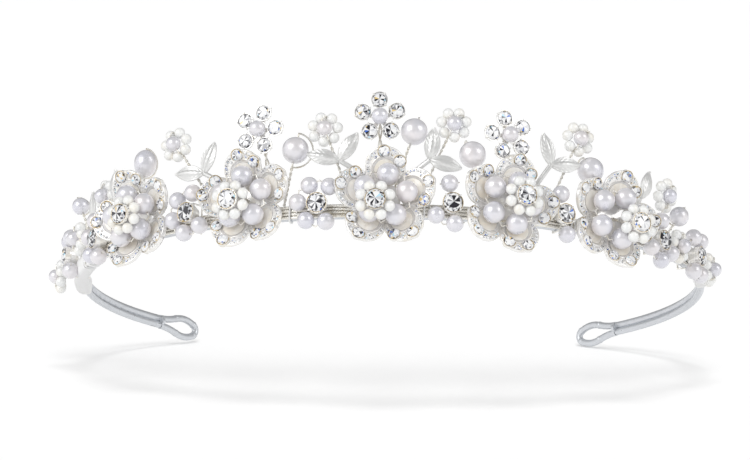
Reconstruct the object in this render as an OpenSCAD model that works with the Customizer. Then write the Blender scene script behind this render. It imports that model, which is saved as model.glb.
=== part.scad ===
// Bridal tiara: cast flowers, pearls, stones, bead daisies and leaves wired to a doubled band.
// Millimetres. The origin is the centre of the band's circle, where the head sits.
// +X is the right side as the front is looked at, +Y goes back and +Z goes up.
// Angles on the band are counted from the front, positive to that right side.

/* [Band] */
// Radius of the band, to the middle of its wire
band_r = 73; // [71:0.5:80]
// Diameter of the band wire
wire_d = 1.7; // [1.6:0.1:2]
// Depth to which the two runs of the wire are soldered together
solder = 0.1; // [0.05:0.05:0.2]
// Angle from the front to the end of the left arm
left_arm = 128; // [115:1:132]
// Angle from the front to the end of the right arm
right_arm = 130; // [115:1:135]
// Width of a hairpin loop, to the middle of its wire
loop_w = 4.5; // [4:0.1:5]
// Radius of the round end of a hairpin loop
loop_tip_r = 1.5; // [1.4:0.1:1.8]
// Radius of the bulging sides of a hairpin loop
loop_side_r = 9; // [7:0.5:12]
// Radius of the bends that open a hairpin loop
flare_r = 20; // [15:1:25]
// Angle by which the front is raised as the tiara is worn
wear_tilt = 19; // [0:1:25]

/* [Wiring] */
// Diameter of the stem wires, which end along the front of the band
stem_d = 0.7; // [0.6:0.05:0.8]
// Diameter of the fine wire that binds and ties
bind_d = 0.4; // [0.3:0.05:0.45]
// Distance from one turn of a binding to the next
bind_pitch = 0.9; // [0.85:0.05:1]
// Diameter of the lacing wire through pearls and beads
lace_d = 0.3; // [0.2:0.05:0.35]
// Diameter of the strand on which a stem pearl turns
strand_d = 0.4; // [0.35:0.05:0.45]
// Play of a wire in a pearl's hole, on each side
bore_play = 0.06; // [0.03:0.01:0.1]
// Gap between pieces that rest on each other
seat_gap = 0.05; // [0.03:0.01:0.08]

/* [Flower castings] */
// Distance from a flower's middle to the middle of a petal
petal_ring = 7; // [6.6:0.1:7.4]
// Radius of a round petal
petal_r = 4.5; // [4.2:0.1:4.8]
// Thickness of a petal
petal_t = 1.1; // [1:0.05:1.3]
// Angle at which a petal rises outwards
petal_cup = 20; // [14:1:24]
// Height of a petal's face above the seat, at the petal's middle
petal_rise = 2.1; // [1.9:0.1:2.6]
// Radius of the flat hub under the petals
hub_r = 3.4; // [3:0.1:4]
// Thickness of the hub
hub_t = 0.8; // [0.6:0.1:1]
// Radius of the enamelled bowl in a petal
bowl_r = 3.1; // [2.8:0.1:3.3]
// Depth of the bowl
bowl_depth = 0.7; // [0.5:0.05:0.8]
// Distance of the bowl from the petal's middle, towards the flower's middle
bowl_shift = 0.9; // [0.7:0.1:1]
// Thickness of the enamel
enamel_t = 0.35; // [0.25:0.05:0.4]
// Thickness of the raised lip round the bowl
lip_d = 0.4; // [0.3:0.05:0.5]
// Diameter of the stones set in the rim
rim_stone_d = 2.6; // [2.2:0.1:2.8]
// Distance of the rim stones from the petal's middle
rim_stone_ring = 3.4; // [3.2:0.1:3.6]
// Height of a stone's collar above the petal's face
collar_h = 0.5; // [0.4:0.1:0.7]

/* [Pearls and beads] */
// Diameter of the five pearls in a flower
flower_pearl_d = 4.9; // [4.5:0.1:5]
// Distance of those pearls from the flower's middle
flower_pearl_ring = 4.9; // [4.7:0.1:5.2]
// Diameter of the pearls in a cluster
cluster_pearl_d = 3.9; // [3.5:0.1:4]
// Diameter of the pearl in a stone daisy
daisy_pearl_d = 3.7; // [3.4:0.1:3.8]
// Diameter of the pearl in a bead daisy
eye_pearl_d = 3.4; // [3:0.1:3.6]
// Diameter of a seed bead
seed_d = 2.3; // [2.1:0.05:2.35]
// Length of a seed bead along its hole
seed_len = 1.8; // [1.5:0.05:1.85]
// Diameter of a seed bead's hole
seed_hole = 0.6; // [0.55:0.05:0.7]
// Radius of the bead ring round a flower's centre stone
crown_ring = 3.4; // [3.35:0.05:3.6]
// Radius of the bead ring of a bead daisy
daisy_bead_ring = 2.8; // [2.8:0.05:3]
// Height of a bead daisy's pearl above its beads
eye_rise = 1.3; // [1.2:0.1:1.5]
// Distance of a pearl stem's outer strand from its pearl
strand_gap = 0.2; // [0.1:0.05:0.4]

/* [Set stones] */
// Diameter of a flower's centre stone
centre_stone_d = 4.3; // [4:0.1:4.4]
// Diameter of a cluster's stone
cluster_stone_d = 4.3; // [4:0.1:4.4]
// Diameter of a stone in a stone daisy
daisy_stone_d = 3.3; // [3:0.1:3.4]
// Wall of a stone's setting
setting_wall = 0.15; // [0.1:0.05:0.2]
// Radius of a setting's claws
claw_r = 0.2; // [0.15:0.05:0.25]
// Height of a centre stone's setting, up to the stone's girdle
centre_setting_h = 2.4; // [2.2:0.1:2.5]
// Height of a cluster stone's setting
cluster_setting_h = 3.15; // [3:0.05:3.6]
// Height of the settings in a stone daisy
daisy_setting_h = 1.7; // [1.6:0.1:2]
// Thickness of the plate behind a stone daisy
daisy_plate_t = 0.5; // [0.4:0.1:0.8]

/* [Leaves] */
// Length of a leaf
leaf_len = 7.4; // [6:0.1:8]
// Width of a leaf
leaf_w = 3.1; // [2.6:0.1:3.6]
// Thickness of a leaf
leaf_t = 0.5; // [0.4:0.05:0.7]
// Radius to which a leaf is domed
leaf_dome = 9; // [7:0.5:14]
// Height of a leaf's midrib above its face
leaf_rib = 0.25; // [0.15:0.05:0.4]
// Diameter of a leaf's cast stem
leaf_stem_d = 1.1; // [0.9:0.1:1.2]

/* [Hidden] */
$fn = 32;
// Facets of a whole turn of the large arcs, and of the shallow bowls
ARC_FN = 200;
BOWL_FN = 120;
// Each flower: angle on the band, height of its middle, turn of its petals,
// shift of its centre stone, turn to the side
FLOWERS = [
    [-49, 3.2, 16, [1.6, -0.7], 11],
    [-25.2, 3.2, 7, [-1, -1.3], 0],
    [-1.3, 2.3, 0, [-2, -2], 0],
    [19.4, 2.2, -14, [1.7, 0.7], 0],
    [39.8, 2.2, -17, [3, -1.9], -10]
];
// Rim stones of a petal: angle from the petal's tip
RIM_STONES = [5, -70];
// Turn of a flower's pearls from its petals
PEARL_TURN = -7;
// Each cluster: angle on the band, height, turn of its six pearl slots, slots that hold a pearl
CLUSTERS = [
    [-36.5, 1.9, 75, [0, 1, 2, 3, 4]],
    [-12.5, 1.2, 55, [0, 1, 2, 3, 4]],
    [9.8, 1.4, 38, [1, 3, 4]],
    [29.7, 1.4, 40, [1, 4]],
    [-62, 1.8, 45, [1, 2, 3, 4]],
    [52.5, 0.4, 30, [1, 3, 4, 5]],
    [-80.5, 3, 0, [1, 2, 5]],
    [66, 0.4, 0, [1, 2, 4, 5]]
];
SLOTS = 6;
// Each stone daisy: angle of its stem's foot, lean along the band, lean outwards, length to its middle, turn
STONE_DAISIES = [[-20.6, -11, 0, 17.9, -27], [-2.3, 0, 0, 19.2, 2], [21.1, -7, 0, 16.6, 8]];
// Each bead daisy on a stem: angle of the foot, lean along the band, lean outwards, length to its middle
BEAD_DAISIES = [
    [-31.3, -35, 0, 20.9],
    [-7, -20, 0, 18.1],
    [4, 24, 0, 20],
    [27.2, 24.5, 0, 20],
    [-60, -12, 2, 10.6],
    [54.1, 0, 12, 10]
];
// Each bead daisy laid on the band: angle, height, and how far it stands off
LAID_DAISIES = [[-74, 5.2, 0], [59.5, 0.9, 0], [-87, 0, 2.4], [73.5, -0.6, 0.8]];
// Beads round a flower's centre stone, and in a bead daisy
CROWN_BEADS = 8;
DAISY_BEADS = 7;
// Each stem pearl: angle of the foot, lean along the band, lean outwards, length, diameter,
// side of its strand
STEM_PEARLS = [
    [-50.5, 6, 0, 15.1, 6, -90],
    [-18.9, 11, 0, 12.9, 6, -140],
    [-0.6, 18, 0, 17.2, 6, -90],
    [18.2, -27, 0, 13.2, 6, -90],
    [44, -40, -2, 15.2, 6, -90],
    [-67.5, -22, 12, 11.5, 4, -90],
    [55.9, 30, 18, 7.4, 4.5, -90]
];
// Each leaf spray: angle of the foot, knee height, place of the fork, direction of each leaf
SPRAYS = [
    [-30.5, 6.5, [-4.6, 9.3], [66, 176]],
    [-4.8, 6.3, [-5.6, 9.5], [57, 168]],
    [2.9, 6.6, [4.2, 9.8], [82, -15]],
    [25.3, 6.2, [3, 11], [106, 6]]
];
// Each leaf at the ends: angle of the foot, knee height, place of the leaf's base, direction
END_LEAVES = [[-56.5, 5, [-0.6, 8], [88]], [47, 5, [1, 7.6], [66]], [-65.3, 3, [0, 5.4], [97]]];
// Distance of the leaves in front of their stem's foot, so that other stems pass behind them
SPRAY_OUT = 1.4;
// Each binding: angle of its middle on the band, and turns
BINDINGS = [[-89, 3], [-70.3, 3], [-53.5, 3], [-17.7, 1], [5.3, 1], [32.45, 2], [41.6, 3], [79, 3]];
// Wires that lie side by side along the band, and the angles between which they run
TAILS = 4;
TAILS_FROM = -93;
TAILS_TO = 81;

run_pitch = wire_d - solder;
band_h = run_pitch + wire_d;
band_in = band_r - wire_d / 2;
band_out = band_r + wire_d / 2;
tail_pitch = stem_d + seat_gap;
tail_r = band_out + seat_gap + stem_d / 2;
tails_h = (TAILS - 1) * tail_pitch + stem_d;
seat_r = tail_r + stem_d / 2 + seat_gap;
foot_h = tails_h / 2 + seat_gap;
half_h = max(band_h, tails_h) / 2;

bowl_sphere_r = (bowl_r * bowl_r + bowl_depth * bowl_depth) / (2 * bowl_depth);
collar_d = rim_stone_d + 2 * seat_gap + 2 * setting_wall;
PETALS = 5;
petal_step = 360 / PETALS;
pearl_seat = petal_rise + (flower_pearl_ring - petal_ring) * tan(petal_cup);
pearl_z = pearl_seat + flower_pearl_d / 2 / cos(petal_cup);
crown_z = pearl_z + (flower_pearl_d + seed_d) / 2 + seat_gap;
// Height of the centre stone above its beads, at which its setting clears them
centre_rise = seed_d / 2 + 0.5;
centre_base_d = 2;
post_d = stem_d;

function setting_r(stone_d) = stone_d / 2 + seat_gap + setting_wall;
function pavilion(stone_d) = 0.4 * stone_d;
function girdle(stone_d) = 0.06 * stone_d;

cluster_ring = setting_r(cluster_stone_d) + claw_r + cluster_pearl_d / 2 + seat_gap;
cluster_base_d = 3.2;
// Height of the hole for the tie, below the cup that holds the stone
tie_z = cluster_setting_h / 2 - 0.9;
daisy_base_d = 0.8 * daisy_stone_d;
daisy_plate_d = 0.7 * daisy_pearl_d;
daisy_arm_w = 0.9;
peg_d = 0.5;
daisy_ring = daisy_pearl_d / 2 + setting_r(daisy_stone_d) + claw_r + seat_gap;

// Places its children on the band: x along the band, y up, z outwards
module on_band(angle, height = 0, out = seat_r) {
    rotate([-wear_tilt, 0, 0])
        rotate([0, 0, angle])
            translate([0, -out, height])
                rotate([90, 0, 0])
                    children();
}

// Places its children at a stem's foot, with y along the stem
module on_stem(stem) {
    on_band(stem[0], foot_h, tail_r)
        rotate([stem[2], 0, -stem[1]])
            children();
}

// Start of a leaning stem, at which its end clears the wire tails
function foot(stem) = [0, stem_d / 2 * tan(max(abs(stem[1]), abs(stem[2]))), 0];

// A straight wire between two points
module rod(from, to, d) {
    v = to - from;
    translate(from)
        rotate([0, acos(v.z / norm(v)), atan2(v.y, v.x)])
            cylinder(d = d, h = norm(v));
}

// A wire through several points, with round corners
module bent_wire(points, d) {
    for (i = [0 : len(points) - 2])
        rod(points[i], points[i + 1], d);
    for (i = [1 : len(points) - 2])
        wire_bend(points[i], d);
}

// The slightly swollen bend of a kinked wire
bend_swell = 1.1;
module wire_bend(at, d) {
    translate(at)
        sphere(d = bend_swell * d);
}

// An arc of round wire about the z axis
module wire_arc(r, from, to, d) {
    rotate([0, 0, from])
        rotate_extrude(angle = to - from, $fn = r > 10 ? ARC_FN : $fn)
            translate([r, 0])
                circle(d = d);
}

// A pearl drilled along x
module pearl(d, hole_d) {
    difference() {
        sphere(d = d);
        rotate([0, 90, 0])
            cylinder(d = hole_d, h = d + 1, center = true);
    }
}

// A round-edged seed bead with its hole along z
module seed_bead() {
    edge_r = (seed_d - seed_hole) / 4;
    side = seed_len - 2 * edge_r;
    rotate_extrude()
        translate([seed_hole / 2 + edge_r, 0]) {
            square([2 * edge_r, side], center = true);
            for (s = [-1, 1])
                translate([0, s * side / 2])
                    circle(r = edge_r);
        }
}

// A faceted stone with its girdle's top at z = 0
module stone(d, sides) {
    crown_h = 0.16 * d;
    table_r = 0.3 * d;
    rotate_extrude($fn = sides)
        polygon([
            [0, -pavilion(d) - girdle(d)],
            [d / 2, -girdle(d)],
            [d / 2, 0],
            [table_r, crown_h],
            [0, crown_h]
        ]);
}

// A cup setting with four claws, for a stone whose girdle's top is at z = 0
module setting(stone_d, height, base_d) {
    out_r = setting_r(stone_d);
    in_r = stone_d / 2 + seat_gap;
    difference() {
        union() {
            rotate_extrude()
                polygon([
                    [0, -height],
                    [base_d / 2, -height],
                    [out_r, -height / 3],
                    [out_r, 0],
                    [0, 0]
                ]);
            for (k = [0 : 3])
                rotate([0, 0, 45 + 90 * k])
                    translate([out_r, 0, -height / 3])
                        cylinder(r = claw_r, h = height / 3 + claw_r);
        }
        rotate_extrude()
            polygon([
                [0, -pavilion(stone_d) - girdle(stone_d) - 2 * seat_gap],
                [in_r, -girdle(stone_d) - seat_gap],
                [in_r, 1],
                [0, 1]
            ]);
    }
}

// A ring of seed beads about z
module seed_ring(r, count) {
    for (k = [0 : count - 1])
        rotate([0, 0, (k + 0.5) * 360 / count])
            translate([r, 0, 0])
                rotate([90, 0, 0])
                    seed_bead();
}

// The band: two soldered runs of wire, which part at a drop of solder to make the hairpin loop of each arm
solder_len = 0.8;
flare_from = wire_d / 2 + seat_gap;
flare_turn = acos((flare_from + flare_r + loop_side_r - loop_w / 2) / (flare_r + loop_side_r));
side_turn = acos((loop_side_r - loop_w / 2) / (loop_side_r - loop_tip_r));
side_x = (flare_r + loop_side_r) * sin(flare_turn);
tip_x = side_x + (loop_side_r - loop_tip_r) * sin(side_turn);
module hairpin_loop() {
    rotate([90, 0, 90])
        linear_extrude(height = solder_len, center = true) {
            square([wire_d + 2 * seat_gap, 2 * flare_from], center = true);
            for (s = [-1, 1])
                translate([0, s * flare_from])
                    circle(d = wire_d + 2 * seat_gap);
        }
    translate([solder_len / 4, 0, 0]) {
        for (s = [0, 1])
            mirror([0, s, 0]) {
                translate([0, flare_from + flare_r, 0])
                    bend_arc(flare_r, -90, -90 + flare_turn);
                translate([side_x, loop_w / 2 - loop_side_r, 0])
                    bend_arc(loop_side_r, 90 + flare_turn, 90 - side_turn);
            }
        translate([tip_x, 0, 0])
            wire_arc(loop_tip_r, side_turn - 90, 90 - side_turn, wire_d);
    }
}

// An arc of the band wire that is swollen a little at its end, where the next bend starts
module bend_arc(r, from, to) {
    wire_arc(r, min(from, to), max(from, to), wire_d);
    wire_bend(r * [cos(to), sin(to), 0], wire_d);
}

module band_wire() {
    color("lightgray") {
        rotate([-wear_tilt, 0, 0])
            rotate([0, 0, -90 - left_arm])
                rotate_extrude(angle = left_arm + right_arm, $fn = ARC_FN)
                    for (s = [-1, 1])
                        translate([band_r, s * run_pitch / 2])
                            circle(d = wire_d);
        on_band(right_arm, 0, band_r)
            hairpin_loop();
        on_band(-left_arm, 0, band_r)
            mirror([1, 0, 0])
                hairpin_loop();
    }
}

// The ends of the ornaments' wires, laid side by side along the front of the band
module wire_tails() {
    color("gainsboro")
        rotate([-wear_tilt, 0, 0])
            for (i = [0 : TAILS - 1])
                translate([0, 0, (i - (TAILS - 1) / 2) * tail_pitch])
                    wire_arc(tail_r, -90 + TAILS_FROM, -90 + TAILS_TO, stem_d);
}

// The bindings: each an unbroken wire wound round the band and the tails
BIND_STEPS = 16;
BIND_SIDES = 6;
bind_lift = seat_gap + bind_d / 2;
bind_from = band_in - bind_lift;
bind_to = seat_r - seat_gap + bind_lift;
bind_mid = (bind_from + bind_to) / 2;
// Looseness of a turn, at which its rounded corners clear the wires inside it
bind_ease = 1.06;
// Angle on the band from one turn to the next
bind_step = bind_pitch / band_r * 180 / PI;
function rounded(c) = sign(c) * sqrt(abs(c));
// A point of a binding's wire, which starts behind the band at the angle given
function bind_point(turn, from) =
    let (
        a = 180 + 360 * turn,
        r = bind_mid + (bind_to - bind_from) / 2 * bind_ease * rounded(cos(a)),
        z = (half_h + bind_lift) * bind_ease * rounded(sin(a)),
        angle = from + turn * bind_step
    )
    [r * sin(angle), -r * cos(angle), z];
function bind_ring(turn, from) =
    let (
        p = bind_point(turn, from),
        along = bind_point(turn + 0.01, from) - bind_point(turn - 0.01, from),
        t = along / norm(along),
        flat = [p.x, p.y, 0],
        away = p - bind_mid * flat / norm(flat),
        b = cross(t, away) / norm(cross(t, away)),
        n = cross(b, t)
    )
    [for (k = [0 : BIND_SIDES - 1])
        p + bind_d / 2 * (cos(360 * k / BIND_SIDES) * n + sin(360 * k / BIND_SIDES) * b)];

module binding(middle, turns) {
    rings = turns * BIND_STEPS;
    from = middle - turns / 2 * bind_step;
    points = [for (i = [0 : rings]) each bind_ring(i / BIND_STEPS, from)];
    sides = [for (i = [0 : rings - 1], k = [0 : BIND_SIDES - 1])
        let (a = i * BIND_SIDES + k, b = i * BIND_SIDES + (k + 1) % BIND_SIDES)
        each [[a, b, a + BIND_SIDES], [b, b + BIND_SIDES, a + BIND_SIDES]]];
    last = rings * BIND_SIDES;
    ends = [for (k = [1 : BIND_SIDES - 2])
        each [[0, k + 1, k], [last, last + k, last + k + 1]]];
    polyhedron(points, concat(sides, ends));
}

fine_steps = 4 * BIND_STEPS;
turn_distances = [for (i = [0 : fine_steps], j = [-3 : 3])
    norm(bind_point(i / fine_steps, 0) - bind_point(1 + (i + j) / fine_steps, 0))];
echo(least_gap_between_binding_turns = min(turn_distances) - bind_d);

module binding_wires() {
    color("silver")
        rotate([-wear_tilt, 0, 0])
            for (b = BINDINGS)
                binding(b[0], b[1]);
}

// The cast flower: five petals on a hub, each with an enamelled bowl and a rim with set stones
// Lift of a turned flower, at which the edge of its flat back clears the wire tails
back_r = 0.65 * petal_ring;
function flower_lift(f) = back_r * sin(abs(f[4]));

module on_flower(i) {
    f = FLOWERS[i];
    on_band(f[0], f[1])
        translate([0, 0, flower_lift(f)])
            rotate([0, f[4], 0])
                children();
}

module on_petals(i) {
    for (k = [0 : PETALS - 1])
        rotate([0, 0, 90 + FLOWERS[i][2] + petal_step * k])
            translate([petal_ring, 0, petal_rise])
                rotate([0, -petal_cup, 0])
                    children();
}

module on_rim_stones() {
    for (a = RIM_STONES)
        rotate([0, 0, a])
            translate([rim_stone_ring, 0, collar_h])
                children();
}

module petal_blank() {
    rotate_extrude()
        translate([0, -petal_t / 2]) {
            translate([0, -petal_t / 2])
                square([petal_r - petal_t / 2, petal_t]);
            translate([petal_r - petal_t / 2, 0])
                circle(d = petal_t);
        }
    translate([-bowl_shift, 0, 0])
        rotate_extrude()
            translate([bowl_r, 0])
                circle(d = lip_d);
    on_rim_stones()
        translate([0, 0, -collar_h - petal_t / 2])
            cylinder(d = collar_d, h = collar_h + petal_t / 2);
}

module bowl_ball(r) {
    translate([-bowl_shift, 0, bowl_sphere_r - bowl_depth])
        sphere(r = r, $fn = BOWL_FN);
}

module flower_casting(i) {
    pocket = pavilion(rim_stone_d) + 2 * girdle(rim_stone_d) + seat_gap;
    color("silver")
        on_flower(i)
            difference() {
                union() {
                    cylinder(r = hub_r, h = hub_t);
                    on_petals(i)
                        petal_blank();
                }
                on_petals(i) {
                    bowl_ball(bowl_sphere_r);
                    on_rim_stones()
                        translate([0, 0, -pocket])
                            cylinder(d = rim_stone_d + 2 * seat_gap, h = pocket + 1);
                }
                rotate([0, -FLOWERS[i][4], 0])
                    cylinder(d = post_d + 2 * seat_gap, h = 4 * hub_t, center = true);
                translate([0, 0, -petal_r])
                    cylinder(r = petal_ring + petal_r, h = petal_r);
            }
}

module flower_enamel(i) {
    color("oldlace")
        on_flower(i)
            on_petals(i)
                difference() {
                    bowl_ball(bowl_sphere_r - seat_gap);
                    bowl_ball(bowl_sphere_r - seat_gap - enamel_t);
                    translate([0, 0, -lip_d / 2])
                        cylinder(r = 3 * bowl_sphere_r, h = 3 * bowl_sphere_r);
                    on_rim_stones()
                        translate([0, 0, -collar_h - petal_t])
                            cylinder(d = collar_d + 2 * seat_gap, h = collar_h + petal_t);
                }
}

module flower_rim_stones(i) {
    color("aliceblue")
        on_flower(i)
            on_petals(i)
                on_rim_stones()
                    stone(rim_stone_d, 8);
}

module on_flower_pearls(i) {
    on_flower(i)
        for (k = [0 : PETALS - 1])
            rotate([0, 0, 90 + FLOWERS[i][2] + PEARL_TURN + petal_step * k])
                translate([flower_pearl_ring, 0, pearl_z])
                    rotate([0, 0, 90])
                        children();
}

module flower_pearls(i) {
    color("ivory")
        on_flower_pearls(i)
            pearl(flower_pearl_d, lace_d + 2 * bore_play);
}

// The crown of a flower: a set stone in a ring of seed beads, on top of the pearls
module on_crown(i) {
    shift = FLOWERS[i][3];
    on_flower(i)
        translate([shift.x, shift.y, crown_z])
            children();
}

module flower_seed_beads(i) {
    color("antiquewhite")
        on_crown(i)
            seed_ring(crown_ring, CROWN_BEADS);
}

// The lacing wires: one through each flower's pearls and one through the beads above them
module flower_lacing() {
    half = flower_pearl_ring * tan(petal_step / 2);
    color("silver")
        for (i = [0 : len(FLOWERS) - 1]) {
            on_flower_pearls(i) {
                rod([-half, 0, 0], [half, 0, 0], lace_d);
                wire_bend([half, 0, 0], lace_d);
            }
            on_crown(i)
                wire_arc(crown_ring, 0, 360, lace_d);
        }
}

// A point of a flower that is turned to the side
function turned(p, f) = [
    p.x * cos(f[4]) + p.z * sin(f[4]),
    p.y,
    flower_lift(f) + p.z * cos(f[4]) - p.x * sin(f[4])
];

// The post under a flower's centre stone goes through the hub, over the band and hooks round it
module flower_posts() {
    color("silver")
        for (i = [0 : len(FLOWERS) - 1]) {
            back = band_in - seat_gap - post_d / 2 - seat_r;
            under = -FLOWERS[i][1] - half_h - seat_gap - post_d / 2;
            f = FLOWERS[i];
            lean = norm(f[3]) / crown_z;
            top = crown_z + centre_rise - centre_setting_h - seat_gap - lean * post_d / 2;
            head = turned([f[3].x, f[3].y, top], f);
            neck = [0, 0, flower_lift(f) + hub_t + post_d];
            foot = [0, under, back + wire_d + stem_d];
            on_band(f[0], f[1])
                bent_wire([head, neck, [0, 0, back], [0, under, back], foot], post_d);
        }
}

module centre_settings() {
    color("silver")
        for (i = [0 : len(FLOWERS) - 1])
            on_crown(i)
                translate([0, 0, centre_rise])
                    setting(centre_stone_d, centre_setting_h, centre_base_d);
}

module centre_stones() {
    color("aliceblue")
        for (i = [0 : len(FLOWERS) - 1])
            on_crown(i)
                translate([0, 0, centre_rise])
                    stone(centre_stone_d, 12);
}

// The clusters: a set stone tied to the band, with small pearls laced round it
module on_clusters() {
    for ($c = CLUSTERS)
        on_band($c[0], $c[1])
            children();
}

module on_cluster_slots() {
    on_clusters()
        for ($k = $c[3])
            rotate([0, 0, $c[2] + $k * 360 / SLOTS])
                translate([cluster_ring, 0, cluster_pearl_d / 2 + seat_gap])
                    rotate([0, 0, 90])
                        children();
}

module cluster_settings() {
    color("silver")
        on_clusters()
            difference() {
                translate([0, 0, cluster_setting_h + seat_gap])
                    setting(cluster_stone_d, cluster_setting_h, cluster_base_d);
                translate([0, 0, tie_z])
                    rotate([90, 0, 0])
                        cylinder(d = bind_d + 2 * seat_gap, h = 3 * cluster_base_d, center = true);
            }
}

module cluster_stones() {
    color("aliceblue")
        on_clusters()
            translate([0, 0, cluster_setting_h + seat_gap])
                stone(cluster_stone_d, 12);
}

module cluster_pearls() {
    color("ivory")
        on_cluster_slots()
            pearl(cluster_pearl_d, lace_d + 2 * bore_play);
}

// The lacing goes on to the next slot where that holds a pearl, and otherwise ends just past its own pearl
function is_filled(k, slots) = len([for (j = slots) if (j == (k + SLOTS) % SLOTS) j]) > 0;
module cluster_lacing() {
    side = cluster_ring * tan(180 / SLOTS);
    end = cluster_pearl_d / 2 + lace_d;
    color("silver")
        on_cluster_slots() {
            from = is_filled($k - 1, $c[3]) ? side : end;
            to = is_filled($k + 1, $c[3]) ? side : end;
            rod([-from, 0, 0], [to, 0, 0], lace_d);
            if (to == side)
                wire_bend([side, 0, 0], lace_d);
        }
}

// The ties: each a loop of fine wire through a cluster's setting and round the band
module tie_wires() {
    color("silver")
        on_clusters() {
            exit = cluster_base_d / 2 + bind_d + 2 * seat_gap;
            top = max(half_h + bind_lift - $c[1], exit + bind_d);
            under = min(-half_h - bind_lift - $c[1], -exit - bind_d);
            back = bind_from - seat_r;
            front = bind_lift;
            corners = [
                [0, exit, tie_z],
                [0, -exit, tie_z],
                [0, under, front],
                [0, under, back],
                [0, top, back],
                [0, top, front]
            ];
            for (k = [0 : len(corners) - 1]) {
                rod(corners[k], corners[(k + 1) % len(corners)], bind_d);
                wire_bend(corners[k], bind_d);
            }
        }
}

// The stone daisies: five set stones on a plate, round a pearl on a peg
module on_stone_daisy(i) {
    d = STONE_DAISIES[i];
    on_stem(d)
        translate([0, d[3], stem_d / 2 + seat_gap])
            rotate([0, 0, d[4]])
                children();
}

module on_daisy_stones() {
    for (k = [0 : PETALS - 1])
        rotate([0, 0, 90 + petal_step * k])
            translate([daisy_ring, 0, daisy_setting_h])
                children();
}

module stone_daisy_frame(i) {
    color("silver")
        on_stone_daisy(i) {
            cylinder(d = daisy_plate_d, h = daisy_plate_t);
            cylinder(d = peg_d, h = daisy_plate_t + daisy_pearl_d / 2);
            for (k = [0 : PETALS - 1])
                rotate([0, 0, 90 + petal_step * k])
                    translate([0, -daisy_arm_w / 2, 0])
                        cube([daisy_ring - daisy_base_d / 2 + daisy_plate_t / 2, daisy_arm_w, daisy_plate_t]);
            on_daisy_stones()
                setting(daisy_stone_d, daisy_setting_h, daisy_base_d);
        }
}

module stone_daisy_stones() {
    color("aliceblue")
        for (i = [0 : len(STONE_DAISIES) - 1])
            on_stone_daisy(i)
                on_daisy_stones()
                    stone(daisy_stone_d, 8);
}

module stone_daisy_pearls() {
    color("ivory")
        for (i = [0 : len(STONE_DAISIES) - 1])
            on_stone_daisy(i)
                translate([0, 0, daisy_plate_t + seat_gap + daisy_pearl_d / 2])
                    difference() {
                        sphere(d = daisy_pearl_d);
                        translate([0, 0, -daisy_pearl_d])
                            cylinder(d = peg_d + 2 * seat_gap, h = daisy_pearl_d + seat_gap);
                    }
}

module stone_daisy_stems() {
    color("silver")
        for (d = STONE_DAISIES)
            on_stem(d)
                rod(foot(d), [0, d[3], 0], stem_d);
}

// The bead daisies: a ring of seed beads on a wire that also crosses through a pearl
laid_z = max(seed_d / 2, eye_pearl_d / 2 - eye_rise) + seat_gap;
// Places its children in each bead daisy, with x towards the daisy's stem
module on_bead_daisies() {
    for (d = BEAD_DAISIES)
        on_stem(d)
            translate([0, d[3], 0])
                rotate([0, 0, -90])
                    children();
    for (d = LAID_DAISIES)
        on_band(d[0], d[1])
            translate([0, 0, laid_z + d[2]])
                rotate([0, 0, 90])
                    children();
}

module bead_daisy_beads() {
    color("antiquewhite")
        on_bead_daisies()
            seed_ring(daisy_bead_ring, DAISY_BEADS);
}

module bead_daisy_pearls() {
    color("ivory")
        on_bead_daisies()
            translate([0, 0, eye_rise])
                pearl(eye_pearl_d, lace_d + 2 * bore_play);
}

// The wire rises between two beads at the stem, crosses the pearl and goes down between two beads beyond it
module bead_daisy_lacing() {
    side = eye_pearl_d / 2 + lace_d;
    across = floor(DAISY_BEADS / 2) * 360 / DAISY_BEADS;
    end = daisy_bead_ring * [cos(across), sin(across), 0];
    rise = [0, 0, eye_rise];
    crossing = [
        [daisy_bead_ring, 0, 0],
        [daisy_bead_ring, 0, eye_rise],
        [-side, 0, eye_rise],
        end + rise,
        end
    ];
    color("silver")
        on_bead_daisies() {
            wire_arc(daisy_bead_ring, 0, 360, lace_d);
            bent_wire(crossing, lace_d);
        }
}

module bead_daisy_stems() {
    reach = daisy_bead_ring + lace_d / 2 + seat_gap;
    color("silver") {
        for (d = BEAD_DAISIES)
            on_stem(d)
                rod(foot(d), [0, d[3] - reach, 0], stem_d);
        for (d = LAID_DAISIES) {
            top = d[1] + reach + stem_d / 2;
            back = tail_r - seat_r;
            on_band(d[0])
                bent_wire([[0, foot_h, back], [0, top, back], [0, top, laid_z + d[2]]], stem_d);
        }
    }
}

// The stem pearls: each turns on the strand that goes through it
module on_stem_pearl(i) {
    s = STEM_PEARLS[i];
    on_stem(s)
        translate([0, s[3], 0])
            children();
}

module stem_pearl(i) {
    color("ivory")
        on_stem_pearl(i)
            rotate([0, 0, 90])
                pearl(STEM_PEARLS[i][4], strand_d + 2 * bore_play);
}

module pearl_stems() {
    color("silver")
        for (i = [0 : len(STEM_PEARLS) - 1]) {
            s = STEM_PEARLS[i];
            loop = s[4] / 2 + strand_gap + strand_d / 2;
            on_stem(s)
                rod(foot(s), [0, s[3] - loop + strand_d / 2, 0], stem_d);
            on_stem_pearl(i) {
                rod([0, -loop, 0], [0, loop, 0], strand_d);
                rotate([0, s[5], 0])
                    wire_arc(loop, 90, 270, strand_d);
                wire_bend([0, loop, 0], strand_d);
            }
        }
}

// The leaves: domed, with a midrib, cast in one with their stem
LEAF_RINGS = 9;
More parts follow.
